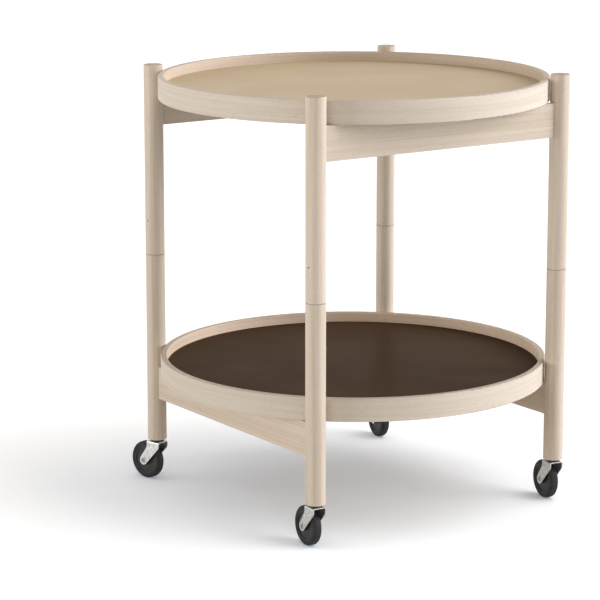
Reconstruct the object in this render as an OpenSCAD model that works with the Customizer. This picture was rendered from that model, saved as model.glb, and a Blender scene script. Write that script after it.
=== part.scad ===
// Round tray table: two loose reversible trays in a square frame of round legs on castors.
// Millimetres, +Z up, origin on the floor under the centre of the trays.
// The top rails run along X and the bottom rails along Y.

/* [Trays] */
// Outer diameter of each tray
tray_d = 500; // [460:5:540]
// Height of the tray rim
rim_h = 29.5; // [24:0.5:36]
// Thickness of the rim's wall
rim_t = 8; // [6:0.5:12]
// Rounding of the rim's edges
rim_edge_r = 1.5; // [0.5:0.25:2.5]
// Thickness of the wooden core of the tray plate, which alone sits in the rim's groove
core_t = 2.3; // [1.8:0.1:5]
// Thickness of the laminate on each face of the plate, inside the rim
face_t = 0.5; // [0.4:0.1:1]
// Depth of the groove in the rim that holds the core
groove_depth = 3; // [2:0.5:4]
// Play round the core in its groove, and round the laminates inside the rim
groove_play = 0.1; // [0.05:0.05:0.3]

/* [Legs] */
// Diameter of the round legs
leg_d = 25; // [20:1:32]
// Length of each lower leg half
lower_leg_l = 251.1; // [220:0.1:300]
// Length of each upper leg half
upper_leg_l = 249.2; // [220:0.1:300]
// Rounding of a leg's top
leg_top_r = 1.2; // [0.5:0.1:2.5]
// Rounding of the other ends of the leg halves and pins
leg_edge_r = 0.4; // [0.3:0.1:1]
// Width of the shadow gap between the leg halves
split_gap = 0.5; // [0.3:0.1:1]
// Depth of the shadow gap, down to the faces that the halves meet on
split_gap_depth = 1.5; // [1:0.1:3]
// Radial gap between a tray and the legs around it
tray_gap = 1; // [0.5:0.1:2]
// Height of the leg tops above the upper tray's rim
leg_rise = 6.5; // [3:0.5:15]

/* [Rails] */
// Height of the rails
rail_h = 43.5; // [32:0.5:55]
// Thickness of the rails
rail_t = 8; // [7:0.5:14]
// Rounding of the rails' long edges
rail_edge_r = 1; // [0.5:0.25:2]
// Height of the bottom rails' lower edge above the lower end of the legs
rail_drop = 56.7; // [45:0.1:80]
// Diameter of the dowels at the rail ends
dowel_d = 5; // [4:0.5:6]
// Length of a dowel
dowel_l = 24; // [20:1:30]
// Length of a dowel that sits in the leg
dowel_in_leg = 8.5; // [6:0.5:9]
// Distance between the two dowels of a rail end
dowel_pitch = 22; // [16:1:28]
// Free depth beyond each end of a dowel
dowel_end_play = 0.5; // [0.3:0.1:1]

/* [Leg pivots] */
// Diameter of the pivot pin inside each leg
pin_d = 8; // [6:0.5:10]
// Length of the pin above the split
pin_up = 52; // [48:1:60]
// Length of the pin below the split
pin_down = 42; // [30:1:60]
// Running clearance on the pin's radius in the upper leg half
pin_clear = 0.05; // [0.02:0.01:0.1]
// Free depth beyond each end of the pin
pin_end_play = 0.5; // [0.3:0.1:1]
// Height of the retaining screw above the split
screw_up = 44.5; // [30:0.5:45]
// Turn of the retaining screws about the leg, in degrees from the line of the top rail
screw_turn = 14; // [0:1:30]
// Diameter of the retaining screw's shank
screw_d = 3.5; // [3:0.5:4]
// Diameter of the retaining screw's head
screw_head_d = 5; // [4.5:0.25:6]
// Depth of the screw head's face below the leg's surface
screw_head_sink = 0.3; // [0.2:0.1:1]
// Height of the screw head's countersink
screw_head_h = 1.6; // [1:0.2:2.4]
// Distance across the corners of the hexagon recess in the screw head
screw_hex_d = 2.6; // [2:0.2:2.8]
// Depth of the hexagon recess
screw_hex_depth = 1.4; // [0.8:0.2:2]
// Depth of the pin's groove, which the screw's tip runs in
pin_groove_depth = 1.2; // [0.8:0.1:1.6]
// Play of the screw's tip in the groove, to its floor and to each side
pin_groove_play = 0.2; // [0.1:0.05:0.4]

/* [Castors] */
// Diameter of the wheels
wheel_d = 50; // [40:1:60]
// Width of the tyres
tyre_w = 12; // [10:0.2:14]
// Rounding of the tyre's shoulders
tyre_shoulder_r = 3.5; // [1.5:0.1:5]
// Height of the tyre's wall between the core and the tread
tyre_wall = 5.5; // [4:0.5:7]
// Step from the tyre's side in to the wheel core's rim
core_step = 0.5; // [0.3:0.1:1]
// Radial width of the wheel core's rim
core_rim = 2.6; // [2:0.2:4]
// Depth of the wheel core's web below its rim
core_web_depth = 1.1; // [0.5:0.1:2]
// Diameter of the wheel hub's bosses
hub_d = 12; // [9:0.5:14]
// Gap between a hub boss and the fork's arm
hub_gap = 0.3; // [0.2:0.1:0.6]
// Diameter of the axle
axle_d = 5; // [4:0.5:6]
// Running clearance on the axle's radius in the wheel
axle_clear = 0.05; // [0.02:0.01:0.1]
// Diameter of the axle's riveted heads
axle_head_d = 7; // [6.5:0.5:9]
// Height of the axle's riveted heads
axle_head_h = 0.6; // [0.4:0.1:1]
// Diameter of the dimple in each axle head
axle_dimple_d = 3; // [2:0.2:4]
// Depth of the dimple
axle_dimple_depth = 1.1; // [0.6:0.1:2]
// Distance from the swivel axis to the axle
trail = 17.6; // [16:0.2:22]
// Thickness of the fork's steel
fork_t = 1.3; // [1:0.1:2]
// Width of the fork over its arms
fork_w = 18.4; // [17:0.2:22]
// Outer radius of the bends between the fork's plate and its arms
fork_bend_r = 2.4; // [2:0.1:3]
// Reach of the fork's arms in front of the swivel axis
fork_front = 10.3; // [9:0.1:13]
// Reach of the fork's arms behind the swivel axis at their top
fork_back = 10.9; // [9:0.1:13]
// Height of the arms' straight upper part
fork_skirt = 5; // [3:0.5:8]
// Radius of the arms' shoulders at the front
fork_shoulder_r = 8; // [4:0.5:12]
// Radius of the hollow behind each arm
fork_hollow_r = 12; // [6:0.5:16]
// Radius of the arms' round ends at the axle
fork_tip_r = 6.2; // [5:0.2:8]
// Height of the fork's top above the wheel's top
fork_over = 3.5; // [3:0.1:6]
// Turn of the front left castor, from +X to the side its wheel trails
turn_front_left = 85.5; // [0:0.5:359]
// Turn of the front right castor
turn_front_right = 80; // [0:0.5:359]
// Turn of the back left castor
turn_back_left = 105.5; // [0:0.5:359]
// Turn of the back right castor
turn_back_right = 80; // [0:0.5:359]

/* [Castor sockets] */
// Diameter of the castor stems
stem_d = 8; // [6:0.5:9]
// Running clearance on the stem's radius
stem_clear = 0.05; // [0.02:0.01:0.1]
// Length of the stem inside the leg
stem_l = 34; // [26:1:44]
// Free depth above the stem's end
stem_end_play = 1; // [0.5:0.5:3]
// Chamfer at the stem's upper end
stem_chamfer = 1; // [0.5:0.25:1.5]
// Height of the snap bead that keeps the stem in its socket
bead_h = 2; // [1.5:0.25:3]
// Height of the snap bead above the surface of the stem
bead_out = 0.4; // [0.3:0.05:0.6]
// Distance from the stem's end down to the middle of the bead
bead_down = 5; // [4:0.5:8]
// Diameter of the rivet head under the fork's plate
rivet_d = 12; // [9.5:0.5:13]
// Height of the rivet head
rivet_h = 1.2; // [0.8:0.1:1.4]
// Wall of the socket round the stem
socket_wall = 1.5; // [1:0.25:2]
// Thickness of the socket's flange under the leg
flange_t = 1.2; // [0.6:0.1:2]
// Diameter of the socket's flange
flange_d = 20; // [14:0.5:22]
// Thickness of the thrust washer between the flange and the fork
washer_t = 1.7; // [1:0.1:2.5]
// Diameter of the thrust washer
washer_d = 17; // [13:0.5:18]

/* [Hidden] */
$fn = 96;
CORNERS = ["front_left", "front_right", "back_left", "back_right"];
SIDES = [[-1, -1], [1, -1], [-1, 1], [1, 1]];
TURNS = [turn_front_left, turn_front_right, turn_back_left, turn_back_right];
TRAYS = ["upper", "lower"];

maple = [0.88, 0.79, 0.68];
tan_laminate = [0.80, 0.70, 0.59];
brown_laminate = [0.27, 0.21, 0.17];
plywood = [0.76, 0.64, 0.50];
dowel_wood = [0.80, 0.67, 0.49];
pressed_steel = [0.78, 0.78, 0.76];
turned_steel = [0.66, 0.67, 0.69];
black_nylon = [0.09, 0.09, 0.09];
hub_plastic = [0.15, 0.15, 0.15];
tyre_rubber = [0.19, 0.19, 0.19];

// A cut that has to break through a surface goes past it by this much
past = 1;

// A straight edge dips into the round that it runs into by this much, so that the two never only touch
weld = 0.01;

// Heights above the floor, from the wheels up
wheel_r = wheel_d / 2;
fork_top_z = wheel_d + fork_over;
plate_z = fork_top_z - fork_t;
flange_z = fork_top_z + washer_t;
leg_z = flange_z + flange_t;
split_z = leg_z + lower_leg_l;
leg_top_z = split_z + upper_leg_l;
bottom_rail_z = leg_z + rail_drop;
lower_tray_z = bottom_rail_z + rail_h;
upper_tray_z = leg_top_z - leg_rise - rim_h;
top_rail_z = upper_tray_z - rail_h;
screw_z = split_z + screw_up;

// Trays
tray_r = tray_d / 2;
rim_inner_r = tray_r - rim_t;
tray_core_r = rim_inner_r + groove_depth - groove_play;
tray_face_r = rim_inner_r - groove_play;
plate_t = core_t + 2 * face_t;
plate_up = (rim_h - plate_t) / 2;

// Frame
leg_r = leg_d / 2;
leg_xy = (tray_r + tray_gap + leg_r) / sqrt(2);
pin_r = pin_d / 2;
groove_r = pin_r - pin_groove_depth;
groove_h = screw_d + 2 * pin_groove_play;
screw_head_x = leg_r - screw_head_sink;
dowel_hole_l = dowel_l + 2 * dowel_end_play;

// Castors
core_r = wheel_r - tyre_wall;
core_w = tyre_w - 2 * core_step;
fork_gap = fork_w - 2 * fork_t;
hub_w = fork_gap - 2 * hub_gap;
stem_r = stem_d / 2;
socket_bore_r = stem_r + stem_clear;
socket_r = socket_bore_r + socket_wall;
socket_top_z = leg_z + stem_l + stem_end_play;
stem_top_z = leg_z + stem_l;
bead_z = stem_top_z - bead_down;

// Outward normal of the line that touches the circles at a and b; side picks one of the two lines,
// and a negative radius at a puts that circle on the line's outer side
function tangent_normal(a, ra, b, rb, side) =
    let (d = b - a, t = atan2(d.y, d.x) + side * acos((ra - rb) / norm(d))) [cos(t), sin(t)];

// Points on the circle at c from angle a to angle b, in n steps
function arc_points(c, r, a, b, n) = [for (k = [0:n]) let (t = a + (b - a) * k / n) c + r * [cos(t), sin(t)]];

// Rectangle w wide and h high with all four corners rounded, from the origin to +X and +Y
module rounded_rect(w, h, r) {
    translate([r, 0]) square([w - 2 * r, h]);
    translate([0, r]) square([w, h - 2 * r]);
    for (x = [r, w - r], y = [r, h - r]) translate([x, y]) circle(r);
}

// Rectangle with only its two upper corners rounded, centred on X
module arched_rect(w, h, r) {
    translate([-w / 2, 0]) square([w, h - r]);
    translate([r - w / 2, 0]) square([w - 2 * r, h]);
    for (s = [-1, 1]) translate([s * (w / 2 - r), h - r]) circle(r);
}

// Half of the outline of a round post, for turning about its axis
module post_outline(r, l, foot_r, head_r) {
    square([r - max(foot_r, head_r), l]);
    translate([0, foot_r]) square([r, l - foot_r - head_r]);
    square([r - foot_r, l / 2]);
    translate([0, l / 2]) square([r - head_r, l / 2]);
    translate([r - foot_r, foot_r]) circle(foot_r);
    translate([r - head_r, l - head_r]) circle(head_r);
}

module post(r, l, foot_r, head_r) rotate_extrude() post_outline(r, l, foot_r, head_r);

module tube(outer_r, inner_r, l) rotate_extrude() translate([inner_r, 0]) square([outer_r - inner_r, l]);

module at_leg(i) translate([SIDES[i].x * leg_xy, SIDES[i].y * leg_xy, 0]) children();

// Turns what points along +X at a leg towards the rail that meets it there
module towards_top_rail(i) rotate([0, 0, SIDES[i].x > 0 ? 180 : 0]) children();
module towards_bottom_rail(i) rotate([0, 0, -SIDES[i].y * 90]) children();

// The castor's own frame: swivel axis on Z, and the wheel trails along +X
module at_castor(i) at_leg(i) rotate([0, 0, TURNS[i]]) children();

// Trays
module tray_rim(z) {
    color(maple) translate([0, 0, z]) rotate_extrude($fn = 180) difference() {
        translate([rim_inner_r, 0]) rounded_rect(rim_t, rim_h, rim_edge_r);
        translate([rim_inner_r - past, plate_up + face_t]) square([past + groove_depth, core_t]);
    }
}

module tray_core(z) {
    color(plywood) translate([0, 0, z + plate_up + face_t]) cylinder(r = tray_core_r, h = core_t, $fn = 180);
}

module tray_face(z, shade) {
    color(shade) translate([0, 0, z]) cylinder(r = tray_face_r, h = face_t, $fn = 180);
}

module tray_top_face(z, shade) tray_face(z + plate_up + face_t + core_t, shade);
module tray_under_face(z, shade) tray_face(z + plate_up, shade);

// Dowel holes or dowels on the side of a post that faces +X, from inside the post to inside the rail
module dowel_pair(rail_z, l, in_leg) {
    for (s = [-1, 1]) translate([leg_r - in_leg, 0, rail_z + rail_h / 2 + s * dowel_pitch / 2])
        rotate([0, 90, 0]) cylinder(d = dowel_d, h = l);
}

module dowel_holes(rail_z) dowel_pair(rail_z, dowel_hole_l, dowel_in_leg + dowel_end_play);

// Rails: straight boards, hollowed at both ends to fit round the legs
module rail(z) {
    color(maple) difference() {
        translate([-leg_xy, 0, z]) rotate([90, 0, 90]) linear_extrude(2 * leg_xy)
            translate([-rail_t / 2, 0]) rounded_rect(rail_t, rail_h, rail_edge_r);
        for (a = [0, 180]) rotate([0, 0, a]) translate([-leg_xy, 0, 0]) {
            translate([0, 0, z - past]) cylinder(r = leg_r, h = rail_h + 2 * past);
            dowel_holes(z);
        }
    }
}

module top_rail(side) translate([0, side * leg_xy, 0]) rail(top_rail_z);
module bottom_rail(side) translate([side * leg_xy, 0, 0]) rotate([0, 0, 90]) rail(bottom_rail_z);

// Legs
module screw_hole() {
    translate([0, 0, screw_z]) rotate([0, -90, screw_turn]) {
        cylinder(d = screw_d, h = leg_r + past);
        translate([0, 0, screw_head_x - screw_head_h])
            cylinder(d1 = screw_d, d2 = screw_head_d, h = screw_head_h);
        translate([0, 0, screw_head_x]) cylinder(d = screw_head_d, h = past);
    }
}

module upper_leg(i) {
    color(maple) at_leg(i) difference() {
        translate([0, 0, split_z]) post(leg_r, upper_leg_l, leg_edge_r, leg_top_r);
        translate([0, 0, split_z - past]) cylinder(r = pin_r + pin_clear, h = past + pin_up + pin_end_play);
        towards_top_rail(i) {
            screw_hole();
            dowel_holes(top_rail_z);
        }
    }
}

module lower_leg(i) {
    color(maple) at_leg(i) difference() {
        translate([0, 0, leg_z]) {
            post(leg_r, lower_leg_l - split_gap, leg_edge_r, leg_edge_r);
            cylinder(r = leg_r - split_gap_depth, h = lower_leg_l);
        }
        translate([0, 0, split_z - pin_down - pin_end_play])
            cylinder(r = pin_r, h = pin_down + pin_end_play + past);
        translate([0, 0, leg_z - past]) cylinder(r = socket_r, h = socket_top_z - leg_z + socket_wall + past);
        towards_bottom_rail(i) dowel_holes(bottom_rail_z);
    }
}

// Pivot pins and the screws that keep the leg halves together
module pivot_pin(i) {
    color(turned_steel) at_leg(i) difference() {
        translate([0, 0, split_z - pin_down]) post(pin_r, pin_down + pin_up, leg_edge_r, leg_edge_r);
        translate([0, 0, screw_z - groove_h / 2]) tube(pin_r + past, groove_r, groove_h);
    }
}

module pin_screw() {
    tip_x = groove_r + pin_groove_play;
    translate([0, 0, screw_z]) rotate([0, -90, screw_turn]) difference() {
        union() {
            translate([0, 0, tip_x]) cylinder(d = screw_d, h = screw_head_x - tip_x);
            translate([0, 0, screw_head_x - screw_head_h])
                cylinder(d1 = screw_d, d2 = screw_head_d, h = screw_head_h);
        }
        translate([0, 0, screw_head_x - screw_hex_depth])
            cylinder(d = screw_hex_d, h = screw_hex_depth + past, $fn = 6);
    }
}

module pin_screws() color(turned_steel) for (i = [0:3]) at_leg(i) towards_top_rail(i) pin_screw();

module rail_dowels() {
    color(dowel_wood) for (i = [0:3]) at_leg(i) {
        towards_top_rail(i) dowel_pair(top_rail_z, dowel_l, dowel_in_leg);
        towards_bottom_rail(i) dowel_pair(bottom_rail_z, dowel_l, dowel_in_leg);
    }
}

// Castors
module castor_socket(i) {
    color(black_nylon) at_leg(i) difference() {
        union() {
            translate([0, 0, flange_z]) cylinder(d = flange_d, h = flange_t);
            translate([0, 0, leg_z]) cylinder(r = socket_r, h = socket_top_z - leg_z + socket_wall);
        }
        translate([0, 0, flange_z - past]) cylinder(r = socket_bore_r, h = socket_top_z - flange_z + past);
        translate([0, 0, bead_z - bead_h / 2 - stem_clear])
            cylinder(r = socket_bore_r + bead_out, h = bead_h + 2 * stem_clear);
    }
}

module castor_washer(i) {
    color(black_nylon) at_leg(i) translate([0, 0, fork_top_z]) tube(washer_d / 2, socket_bore_r, washer_t);
}

module castor_stem(i) {
    color(turned_steel) at_castor(i) rotate_extrude() {
        translate([0, plate_z]) square([stem_r, stem_top_z - plate_z - stem_chamfer]);
        polygon([
            [0, stem_top_z - stem_chamfer], [stem_r, stem_top_z - stem_chamfer],
            [stem_r - stem_chamfer, stem_top_z], [0, stem_top_z]
        ]);
        translate([0, bead_z - bead_h / 2]) square([stem_r + bead_out, bead_h]);
        translate([0, plate_z - rivet_h]) square([rivet_d / 2, rivet_h]);
    }
}

// Side view of a fork arm, X towards the wheel and Y up
module fork_arm_outline() {
    axle = [trail, wheel_r];
    shoulder = [fork_shoulder_r - fork_front, fork_top_z - fork_skirt];
    hollow = [fork_back + fork_hollow_r, fork_top_z - fork_skirt];
    front_n = tangent_normal(shoulder, fork_shoulder_r, axle, fork_tip_r, -1);
    back_n = tangent_normal(hollow, -fork_hollow_r, axle, fork_tip_r, 1);
    shoulder_r = fork_shoulder_r - weld;
    tip_r = fork_tip_r - weld;
    polygon([
        [-fork_front, fork_top_z], [-fork_front + weld, shoulder.y], shoulder,
        shoulder + shoulder_r * front_n, axle + tip_r * front_n, axle, axle + tip_r * back_n,
        each arc_points(hollow, fork_hollow_r, atan2(-back_n.y, -back_n.x), -180, 8),
        [fork_back, fork_top_z]
    ]);
    translate(shoulder) circle(fork_shoulder_r);
    translate(axle) circle(fork_tip_r);
}

module castor_fork(i) {
    tip_z = wheel_r - fork_tip_r - past;
    color(pressed_steel) at_castor(i) difference() {
        intersection() {
            rotate([90, 0, 0]) linear_extrude(fork_w + 2 * past, center = true) fork_arm_outline();
            translate([-fork_front - past, 0, tip_z]) rotate([90, 0, 90])
                linear_extrude(fork_front + trail + fork_tip_r + 2 * past) difference() {
                    arched_rect(fork_w, fork_top_z - tip_z, fork_bend_r);
                    arched_rect(fork_gap, plate_z - tip_z, fork_bend_r - fork_t);
                }
        }
        translate([trail, 0, wheel_r]) rotate([90, 0, 0])
            cylinder(d = axle_d, h = fork_w + 2 * past, center = true);
        translate([0, 0, plate_z - past]) cylinder(r = stem_r, h = fork_t + 2 * past);
    }
}

module at_wheel(i) at_castor(i) translate([trail, 0, wheel_r]) rotate([90, 0, 0]) children();

module castor_axle(i) {
    color(turned_steel) at_wheel(i) difference() {
        union() {
            cylinder(d = axle_d, h = fork_w, center = true);
            for (s = [-1, 1]) translate([0, 0, s * (fork_w + axle_head_h) / 2])
                cylinder(d = axle_head_d, h = axle_head_h, center = true);
        }
        for (s = [0, 180]) rotate([s, 0, 0]) translate([0, 0, fork_w / 2 + axle_head_h - axle_dimple_depth])
            cylinder(d = axle_dimple_d, h = axle_dimple_depth + past);
    }
}

module castor_wheel_core(i) {
    web_w = core_w - 2 * core_web_depth;
    color(hub_plastic) at_wheel(i) difference() {
        union() {
            cylinder(r = core_r, h = web_w, center = true);
            translate([0, 0, -core_w / 2]) tube(core_r, core_r - core_rim, core_w);
            cylinder(d = hub_d, h = hub_w, center = true);
        }
        cylinder(r = axle_d / 2 + axle_clear, h = hub_w + 2 * past, center = true);
    }
}

module castor_tyre(i) {
    color(tyre_rubber) at_wheel(i) rotate_extrude() intersection() {
        translate([-wheel_r, -tyre_w / 2]) rounded_rect(2 * wheel_r, tyre_w, tyre_shoulder_r);
        translate([core_r, -tyre_w / 2]) square([tyre_wall, tyre_w]);
    }
}

// The two trays are alike: the lower one lies with its brown face up
tray_rim(upper_tray_z);  // upper_tray_rim
tray_core(upper_tray_z);  // upper_tray_core
tray_top_face(upper_tray_z, tan_laminate);  // upper_tray_top_face
tray_under_face(upper_tray_z, brown_laminate);  // upper_tray_under_face
tray_rim(lower_tray_z);  // lower_tray_rim
tray_core(lower_tray_z);  // lower_tray_core
tray_top_face(lower_tray_z, brown_laminate);  // lower_tray_top_face
tray_under_face(lower_tray_z, tan_laminate);  // lower_tray_under_face
top_rail(-1);  // front_top_rail
top_rail(1);  // back_top_rail
bottom_rail(-1);  // left_bottom_rail
bottom_rail(1);  // right_bottom_rail
pin_screws();
rail_dowels();
for (i = [0:3]) {
    upper_leg(i);
    lower_leg(i);
    pivot_pin(i);
    castor_socket(i);
    castor_washer(i);
    castor_fork(i);
    castor_stem(i);
    castor_axle(i);
    castor_wheel_core(i);
    castor_tyre(i);
}
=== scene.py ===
"""Looks of the tray table: materials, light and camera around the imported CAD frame."""

import math

import bpy
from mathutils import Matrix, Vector

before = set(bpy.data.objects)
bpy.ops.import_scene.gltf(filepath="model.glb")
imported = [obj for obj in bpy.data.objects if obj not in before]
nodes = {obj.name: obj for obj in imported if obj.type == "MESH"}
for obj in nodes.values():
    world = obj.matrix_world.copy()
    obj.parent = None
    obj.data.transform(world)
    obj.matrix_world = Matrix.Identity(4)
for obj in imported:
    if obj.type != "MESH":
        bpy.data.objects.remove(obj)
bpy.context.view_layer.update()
scene = bpy.context.scene

CORNERS = ("front_left", "front_right", "back_left", "back_right")
FLAT = (1.0, 1.0, 0.0)  # keeps a point's X and Y and drops its height
WHITE = (1.0, 1.0, 1.0, 1.0)

# Ranges of noise over which a colour or a roughness goes from one value to the other
CRISP = (0.38, 0.62)
SOFT = (0.35, 0.65)
WHOLE = (0.3, 0.7)


def srgb(r, g, b):
    """Linear colour of an 8-bit sRGB one."""
    linear = [(v / 255 / 12.92) if v < 10.3 else ((v / 255 + 0.055) / 1.055) ** 2.4 for v in (r, g, b)]
    return (*linear, 1.0)


class Tree:
    """The node tree of a material or of the world, built by short calls."""

    def __init__(self, owner):
        owner.use_nodes = True
        self.owner = owner
        self.nodes, self.links = owner.node_tree.nodes, owner.node_tree.links
        self.nodes.clear()

    def add(self, kind, inputs=None, **settings):
        """A node whose inputs are linked to sockets or set to plain values."""
        node = self.nodes.new(kind)
        for key, value in settings.items():
            setattr(node, key, value)
        for key, value in (inputs or {}).items():
            if isinstance(value, bpy.types.NodeSocket):
                self.links.new(value, node.inputs[key])
            else:
                node.inputs[key].default_value = value
        return node

    def math(self, operation, *values, clamp=False):
        settings = {"operation": operation, "use_clamp": clamp}
        return self.add("ShaderNodeMath", dict(enumerate(values)), **settings).outputs[0]

    def weighted(self, a, b, share):
        """The weighted sum of two values, of which the second has this share."""
        return self.math("ADD", self.math("MULTIPLY", a, 1.0 - share), self.math("MULTIPLY", b, share))

    def vector(self, operation, *values):
        """A vector, or a plain value where the operation is a length or a distance."""
        node = self.add("ShaderNodeVectorMath", dict(enumerate(values)), operation=operation)
        return node.outputs["Value" if operation in ("LENGTH", "DISTANCE") else "Vector"]

    def coordinate(self, kind):
        return self.add("ShaderNodeTexCoord").outputs[kind]

    def stretched(self, scale):
        """The object's own point, scaled by a different amount along each axis, in cycles per metre."""
        return self.vector("MULTIPLY", self.coordinate("Object"), scale)

    def noise(self, point, detail=2.0, rough=0.5, w=None, distortion=0.0):
        """Noise between 0 and 1 in three dimensions, or in four where w is given."""
        inputs = {"Vector": point, "Scale": 1.0, "Detail": detail, "Roughness": rough}
        inputs["Distortion"] = distortion
        if w is not None:
            inputs["W"] = w
        dims = "3D" if w is None else "4D"
        return self.add("ShaderNodeTexNoise", inputs, noise_dimensions=dims).outputs["Fac"]

    def ramp(self, value, low, high, out_low=0.0, out_high=1.0):
        """A smooth step from out_low to out_high while the value goes from low to high."""
        inputs = {"Value": value, "From Min": low, "From Max": high, "To Min": out_low, "To Max": out_high}
        return self.add("ShaderNodeMapRange", inputs, clamp=True, interpolation_type="SMOOTHSTEP").outputs[0]

    def mix(self, factor, a, b, blend="MIX"):
        inputs = {0: factor, 6: a, 7: b}
        return self.add("ShaderNodeMix", inputs, data_type="RGBA", blend_type=blend).outputs[2]

    def bump(self, height, distance, strength):
        """The surface's normal with bumps of this height in metres."""
        inputs = {"Height": height, "Distance": distance, "Strength": strength}
        return self.add("ShaderNodeBump", inputs).outputs[0]

    def principled(self, **inputs):
        """Ends a material with the Principled shader, whose input names are given with underscores."""
        shader = self.add("ShaderNodeBsdfPrincipled", {k.replace("_", " "): v for k, v in inputs.items()})
        self.add("ShaderNodeOutputMaterial", {"Surface": shader.outputs[0]})
        return self.owner


# Wood: streaks along the grain, short ray flecks, and darker end grain where a leg is cut across
WOOD_LIGHT = srgb(213, 199, 182)
WOOD_DARK = srgb(201, 185, 165)
RIM_LIGHT = srgb(214, 202, 187)
RIM_DARK = srgb(205, 192, 176)
FLECK = srgb(166, 138, 110)
END_GRAIN = srgb(180, 158, 134)
END_RING = srgb(164, 140, 114)

# What the rim's colour is multiplied by as painted light and shade: on its inner wall painted shade in the
# upper tray and painted warm bounce light in the lower, and on its level edges painted shade
RIM_INNER_SHADING = {"upper": (0.97, 0.92, 0.87, 1.0), "lower": (1.14, 1.02, 0.92, 1.0)}
RIM_TOP_SHADE = (0.83, 0.775, 0.745, 1.0)
RIM_WALL_SHADING_RADII = (0.2425, 0.2435)  # metres from the tray's centre, over which the inner wall's painted shading ends

# Sizes of the grain's layers, in cycles per metre along the grain and across it
BROAD = (1.8, 75.0)
FINE = (5.0, 330.0)
FLECKS = (240.0, 1900.0)
FLECKS_FROM = (0.6, 0.72)  # only the peaks of their noise show
FLECKS_STRENGTH = 0.35

# Rings of the end grain, as arcs about a pith that lies beside each leg
PITH = (0.15, 0.17, 0.0)
RINGS_PER_METRE = 700.0
RINGS_WAVER = (20.0, 20.0, 0.0)
RINGS_FROM = (0.4, 0.65)

# How level a surface is where the rim's painted edge shade or the end grain starts, and where it is full
TOP_SHADE_LEVEL = (0.6, 0.9)
END_LEVEL = (0.8, 0.97)


def wood(name, grain, seed, light=WOOD_LIGHT, dark=WOOD_DARK, inner_shading=None):
    """grain is x, y or z for a straight piece, and ring for a rim bent round the Z axis."""
    t = Tree(bpy.data.materials.new(name))
    radius = t.vector("LENGTH", t.stretched(FLAT)) if grain == "ring" else None

    def layer(size, detail, rough, distortion=0.0):
        along, across = size
        if grain == "ring":
            w = t.math("MULTIPLY_ADD", radius, across, seed)
            return t.noise(t.stretched((along, along, across)), detail, rough, w, distortion)
        scale = [along if axis == grain else across for axis in "xyz"]
        return t.noise(t.stretched(scale), detail, rough, seed, distortion)

    broad = layer(BROAD, detail=2.0, rough=0.5, distortion=0.6)
    fine = layer(FINE, detail=3.0, rough=0.6)
    flecks = t.ramp(layer(FLECKS, detail=1.0, rough=0.4), *FLECKS_FROM)
    colour = t.mix(t.ramp(t.weighted(broad, fine, 0.55), *CRISP), light, dark)
    colour = t.mix(t.math("MULTIPLY", flecks, FLECKS_STRENGTH), colour, FLECK)

    level = t.math("ABSOLUTE", t.add("ShaderNodeSeparateXYZ", {0: t.coordinate("Normal")}).outputs["Z"])
    if grain == "ring":
        # Painted shading on the rim's inner wall: darker in the upper tray, lighter and warmer in the lower
        wall_shading = t.ramp(radius, *RIM_WALL_SHADING_RADII, out_low=1.0, out_high=0.0)
        colour = t.mix(wall_shading, colour, t.mix(1.0, colour, inner_shading, "MULTIPLY"))
        # Painted shade on the rim's level top edges
        colour = t.mix(t.ramp(level, *TOP_SHADE_LEVEL), colour, t.mix(1.0, colour, RIM_TOP_SHADE, "MULTIPLY"))
    if grain == "z":
        from_pith = t.vector("DISTANCE", t.vector("ABSOLUTE", t.stretched(FLAT)), PITH)
        rings = t.noise(t.stretched(RINGS_WAVER), 1.0, 0.5, t.math("MULTIPLY", from_pith, RINGS_PER_METRE))
        end = t.mix(t.ramp(rings, *RINGS_FROM), END_GRAIN, END_RING)
        colour = t.mix(t.ramp(level, *END_LEVEL), colour, end)

    height = t.math("SUBTRACT", t.math("MULTIPLY", fine, 0.5), t.math("MULTIPLY", flecks, 0.5))
    rough = t.ramp(fine, *WHOLE, 0.5, 0.62)
    bump = t.bump(height, 0.00012, 0.5)
    return t.principled(Base_Color=colour, Roughness=rough, Normal=bump, Specular_IOR_Level=0.1)


def laminate(name, colour, darker, rough, gloss):
    """A thin matt sheet with a fine even speckle and a faint cloudiness."""
    t = Tree(bpy.data.materials.new(name))
    speckle = t.noise(t.stretched((1400.0,) * 3), rough=0.6)
    cloud = t.noise(t.stretched((9.0,) * 3))
    base = t.mix(t.ramp(t.weighted(cloud, speckle, 0.55), *CRISP), colour, darker)
    roughness = t.ramp(cloud, *WHOLE, rough - 0.03, rough + 0.03)
    bump = t.bump(speckle, 0.00004, 0.4)
    return t.principled(Base_Color=base, Roughness=roughness, Normal=bump, Specular_IOR_Level=gloss)


def plywood():
    """The sawn core of the plates, seen only in section."""
    t = Tree(bpy.data.materials.new("plywood"))
    bands = t.noise(t.stretched((30.0, 30.0, 1300.0)))
    fibres = t.noise(t.stretched((60.0, 900.0, 900.0)), rough=0.6)
    base = t.mix(t.ramp(t.weighted(bands, fibres, 0.4), *SOFT), srgb(206, 178, 142), srgb(160, 128, 92))
    return t.principled(Base_Color=base, Roughness=0.7, Normal=t.bump(fibres, 0.0001, 0.6))


def metal(name, colour, darker, roughness, scale, bump):
    """Plated or turned steel: faint mottling, and fine working marks of this scale and depth."""
    t = Tree(bpy.data.materials.new(name))
    mottle = t.noise(t.stretched((260.0,) * 3), rough=0.55)
    marks = t.noise(t.stretched(scale), rough=0.6)
    base = t.mix(t.ramp(mottle, *SOFT), colour, darker)
    rough = t.ramp(marks, *WHOLE, *roughness)
    return t.principled(Base_Color=base, Metallic=1.0, Roughness=rough, Normal=t.bump(marks, bump, 0.5))


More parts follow.
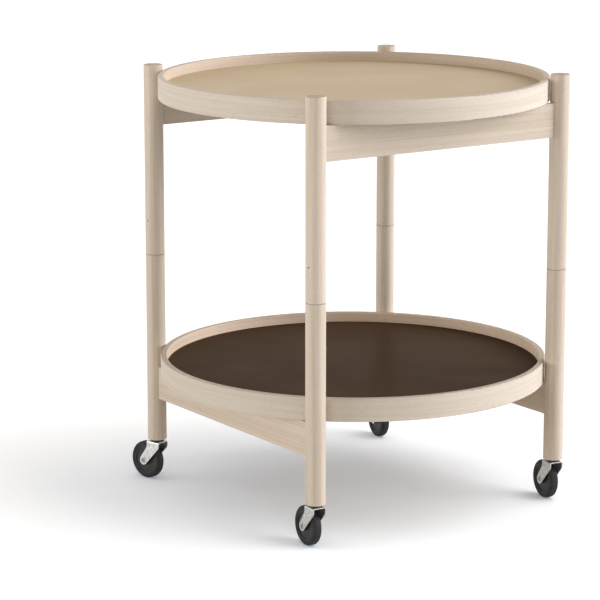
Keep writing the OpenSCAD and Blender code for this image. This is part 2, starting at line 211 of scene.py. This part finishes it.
def moulded(name, colour, lighter, roughness, grain, bump, gloss=0.4):
    """Moulded plastic or rubber with a fine grain, and a little paler where it is dusty."""
    t = Tree(bpy.data.materials.new(name))
    skin = t.noise(t.stretched((grain,) * 3), rough=0.6)
    dust = t.noise(t.stretched((90.0,) * 3), detail=3.0, rough=0.6)
    base = t.mix(t.ramp(dust, 0.4, 0.7), colour, lighter)
    rough = t.ramp(skin, *WHOLE, *roughness)
    bump = t.bump(skin, bump, 0.6)
    return t.principled(Base_Color=base, Roughness=rough, Normal=bump, Specular_IOR_Level=gloss)


RAILS = (  # name, grain and seed
    ("front_top", "x", 2.0),
    ("back_top", "x", 7.0),
    ("left_bottom", "y", 3.0),
    ("right_bottom", "y", 8.0),
)
finishes = {}
for tray, seed in (("upper", 1.7), ("lower", 4.9)):
    rim_wood = wood(f"{tray}_rim_wood", "ring", seed, RIM_LIGHT, RIM_DARK, RIM_INNER_SHADING[tray])
    finishes[f"{tray}_tray_rim"] = rim_wood
for rail, grain, seed in RAILS:
    finishes[f"{rail}_rail"] = wood(f"{rail}_rail_wood", grain, seed)
for half, seed in (("upper", 8.0), ("lower", 11.0)):
    leg_wood = wood(f"{half}_leg_wood", "z", seed)
    finishes.update({f"{corner}_{half}_leg": leg_wood for corner in CORNERS})

DOWEL = wood("dowel_wood", "x", 21.0)
TAN = laminate("tan_laminate", srgb(203, 180, 149), srgb(199, 176, 143), 0.45, 0.009)
BROWN = laminate("brown_laminate", srgb(81, 62, 46), srgb(75, 57, 42), 0.33, 0.001)
PLYWOOD = plywood()

LATHE_MARKS = (300.0, 300.0, 2500.0)
ZINC = metal("bright_zinc", srgb(202, 200, 196), srgb(176, 174, 170), (0.34, 0.46), (900.0,) * 3, 0.00003)
STEEL = metal("turned_steel", srgb(176, 174, 170), srgb(150, 148, 144), (0.24, 0.36), LATHE_MARKS, 0.00002)
SCREW = metal("screw_steel", srgb(178, 170, 160), srgb(150, 143, 134), (0.35, 0.5), (600.0,) * 3, 0.00002)
NYLON = moulded("black_nylon", srgb(24, 24, 24), srgb(34, 34, 34), (0.4, 0.55), 1500.0, 0.00003)
HUB = moulded("hub_plastic", srgb(38, 38, 39), srgb(48, 48, 49), (0.45, 0.6), 1500.0, 0.00003, gloss=0.3)
RUBBER = moulded("tyre_rubber", srgb(42, 42, 42), srgb(56, 56, 56), (0.62, 0.8), 1100.0, 0.00008, gloss=0.2)

finishes.update(rail_dowels=DOWEL, pin_screws=SCREW)
finishes.update(upper_tray_core=PLYWOOD, lower_tray_core=PLYWOOD)
finishes.update(upper_tray_top_face=TAN, lower_tray_under_face=TAN)
finishes.update(lower_tray_top_face=BROWN, upper_tray_under_face=BROWN)
CASTOR = {"fork": ZINC, "stem": STEEL, "axle": STEEL, "socket": NYLON, "washer": NYLON}
CASTOR.update(wheel_core=HUB, tyre=RUBBER)
for corner in CORNERS:
    finishes[f"{corner}_pivot_pin"] = STEEL
    finishes.update({f"{corner}_castor_{part}": finish for part, finish in CASTOR.items()})

for name, node in nodes.items():
    node.data.materials.clear()
    node.data.materials.append(finishes[name])


def seen_or_mirrored(t):
    """1 for camera, glossy and transmission rays, and 0 for the rays that light the scene."""
    path = t.add("ShaderNodeLightPath")
    glossy = t.math("ADD", path.outputs["Is Camera Ray"], path.outputs["Is Glossy Ray"])
    return t.math("ADD", glossy, path.outputs["Is Transmission Ray"], clamp=True)


# Floor: white to the camera and in reflections, and it keeps the table's shadow
FLOOR_HALF = 6.0
floor_mesh = bpy.data.meshes.new("floor")
floor_corners = [(x * FLOOR_HALF, y * FLOOR_HALF, 0) for x, y in ((-1, -1), (1, -1), (1, 1), (-1, 1))]
floor_mesh.from_pydata(floor_corners, [], [(0, 1, 2, 3)])
floor = bpy.data.objects.new("floor", floor_mesh)
scene.collection.objects.link(floor)

# A glow that is seen but lights nothing: bluer under the table, inside the first of two radii in metres
GLOW_UNDER = (0.12, 0.16, 0.205, 1.0)
GLOW_AROUND = (0.157, 0.16, 0.166, 1.0)
GLOW_RADII = (0.15, 0.6)

card = Tree(bpy.data.materials.new("floor_card"))
speck = card.noise(card.stretched((40.0,) * 3))
lit = card.mix(speck, srgb(222, 222, 223), srgb(225, 225, 226))
shown = seen_or_mirrored(card)
diffuse = card.add("ShaderNodeBsdfDiffuse", {"Color": card.mix(shown, lit, WHITE)})
from_centre = card.vector("LENGTH", card.stretched(FLAT))
glow_colour = card.mix(card.ramp(from_centre, *GLOW_RADII), GLOW_UNDER, GLOW_AROUND)
glow = card.add("ShaderNodeEmission", {"Color": glow_colour, "Strength": shown})
both = card.add("ShaderNodeAddShader", {0: diffuse.outputs[0], 1: glow.outputs[0]})
card.add("ShaderNodeOutputMaterial", {"Surface": both.outputs[0]})
floor_mesh.materials.append(card.owner)

# Light: a white surround for the camera and for reflections, a dim one that lights, and wide soft lamps
AMBIENT = 0.33
AMBIENT_TINT = (1.04, 0.99, 0.93, 1.0)
world = bpy.data.worlds.new("studio")
scene.world = world
studio = Tree(world)
shown = seen_or_mirrored(studio)
strength = studio.add("ShaderNodeMapRange", {"Value": shown, "To Min": AMBIENT, "To Max": 1.0}).outputs[0]
surround = {"Color": studio.mix(shown, AMBIENT_TINT, WHITE), "Strength": strength}
background = studio.add("ShaderNodeBackground", surround)
studio.add("ShaderNodeOutputWorld", {"Surface": background.outputs[0]})

# Each lamp lights either the floor or all but the floor, which the photograph shows more evenly lit
FLOOR_ONLY = bpy.data.collections.new("lit_floor")
FLOOR_ONLY.objects.link(floor)
TABLE_ONLY = bpy.data.collections.new("lit_table")
TABLE_ONLY.objects.link(floor)
TABLE_ONLY.collection_objects[0].light_linking.link_state = "EXCLUDE"

YAW = math.radians(34.09)  # of the camera, to the right of +Y
NEUTRAL = (1.0, 1.0, 1.0)
COOL = (0.95, 0.98, 1.05)
WARM = (1.05, 1.0, 0.94)


def lamp(name, azimuth, elevation, spread, strength, receivers, colour=NEUTRAL):
    """A sun so many degrees right of the camera and above the floor, spread over a wide angle."""
    data = bpy.data.lights.new(name, "SUN")
    data.angle = math.radians(spread)
    data.energy = strength
    data.color = colour
    lamp_object = bpy.data.objects.new(name, data)
    a, e = math.radians(azimuth) - YAW, math.radians(elevation)
    towards = Vector((math.sin(a) * math.cos(e), -math.cos(a) * math.cos(e), math.sin(e)))
    lamp_object.rotation_euler = towards.to_track_quat("Z", "Y").to_euler()
    lamp_object.light_linking.receiver_collection = receivers
    scene.collection.objects.link(lamp_object)


lamp("floor right", 90, 60, 40, 0.79, FLOOR_ONLY)
lamp("floor front right", 65, 30, 40, 1.07, FLOOR_ONLY)
lamp("floor front", 0, 15, 40, 0.5, FLOOR_ONLY)
lamp("floor left", -90, 35, 40, 0.24, FLOOR_ONLY)
lamp("floor top", 0, 90, 90, 0.77, FLOOR_ONLY)
lamp("key", 90, 12, 40, 3.0, TABLE_ONLY, COOL)
lamp("high key", 90, 30, 40, 1.0, TABLE_ONLY, COOL)
lamp("back", 180, 30, 60, 0.6, TABLE_ONLY)
lamp("left", -75, 4, 30, 1.6, TABLE_ONLY)
lamp("front left", -30, 5, 30, 0.42, TABLE_ONLY, WARM)

# Camera: at the photograph's place and angle, fitted to the legs and both tray rims
CAMERA_PLACE = (-1.95445, -2.76528, 0.97864)
PITCH = math.radians(12.06)
camera_data = bpy.data.cameras.new("camera")
camera_data.sensor_width = 36.0
camera_data.lens = 159.93
camera = bpy.data.objects.new("camera", camera_data)
camera.location = CAMERA_PLACE
camera.rotation_euler = (math.pi / 2 - PITCH, 0.0, -YAW)
scene.collection.objects.link(camera)
scene.camera = camera

scene.view_settings.view_transform = "Standard"
